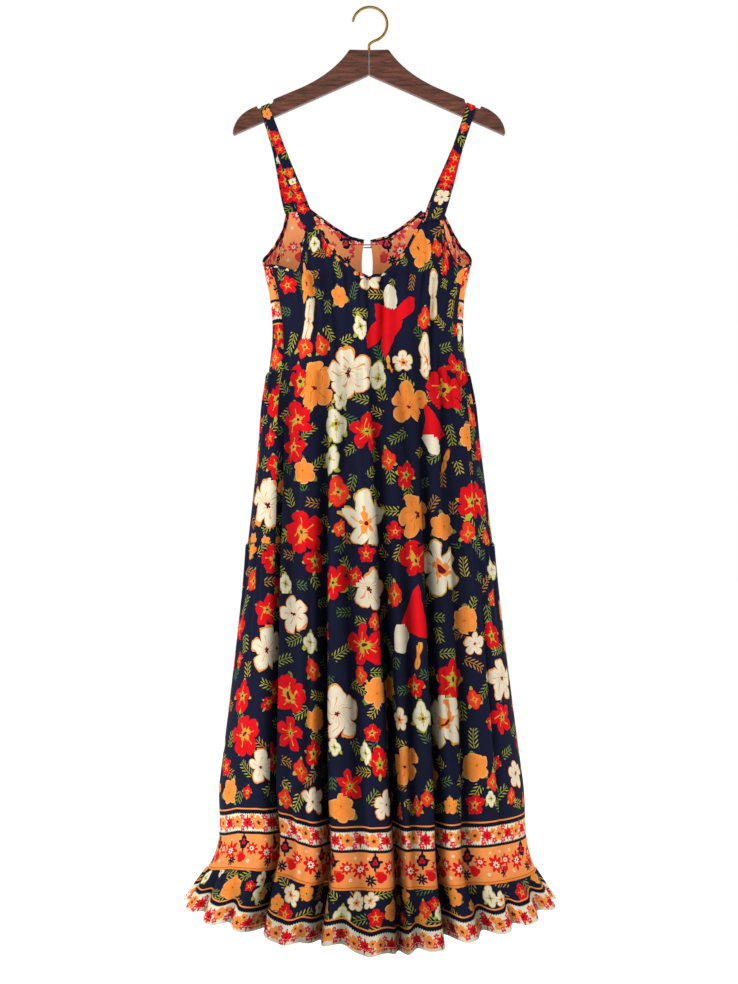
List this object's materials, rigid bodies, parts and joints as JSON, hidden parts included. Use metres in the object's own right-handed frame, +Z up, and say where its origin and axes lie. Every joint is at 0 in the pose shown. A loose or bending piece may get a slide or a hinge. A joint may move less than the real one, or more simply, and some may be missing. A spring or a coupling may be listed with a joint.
{
  "type": "maxi dress on a hanger",
  "caption": "Sleeveless strappy maxi dress, scoop neck and back keyhole, gathered tiers and a ruffled hem, hanging open on a wooden hanger with a wire hook.",
  "frame": {"origin": "inside of the hook's crown, where a rail carries the hanger", "axes": "+Z up, +X to the viewer's right when the front faces them, front of the dress towards -Y"},
  "size_m": [0.6143, 0.325, 1.5103],
  "materials": {
    "floral_print": "woven viscose, floral print on navy",
    "border_print": "woven viscose, flowered peach border and navy floral",
    "stained_wood": "dark stained, satin lacquer",
    "brass_wire": "antique brass plated wire",
    "dark_trim": "small dyed button and cord loop"
  },
  "bodies": {
    "root": {"hanger_arm_left": "stained_wood", "hanger_arm_right": "stained_wood", "hook": "brass_wire", "bodice_front": "floral_print", "bodice_back_left": "border_print", "bodice_back_right": "border_print", "keyhole_facing_left": "floral_print", "keyhole_facing_right": "floral_print", "neck_binding_front": "floral_print", "neck_binding_back_left": "floral_print", "neck_binding_back_right": "floral_print", "armhole_binding_left": "floral_print", "armhole_binding_right": "floral_print", "strap_left": "floral_print", "strap_right": "floral_print", "neck_button": "dark_trim", "neck_loop": "dark_trim", "middle_tier_front": "floral_print", "middle_tier_back": "floral_print", "lower_tier_front": "floral_print", "lower_tier_back": "floral_print", "ruffle_front": "floral_print", "ruffle_back": "floral_print"}
  },
  "joints": []
}
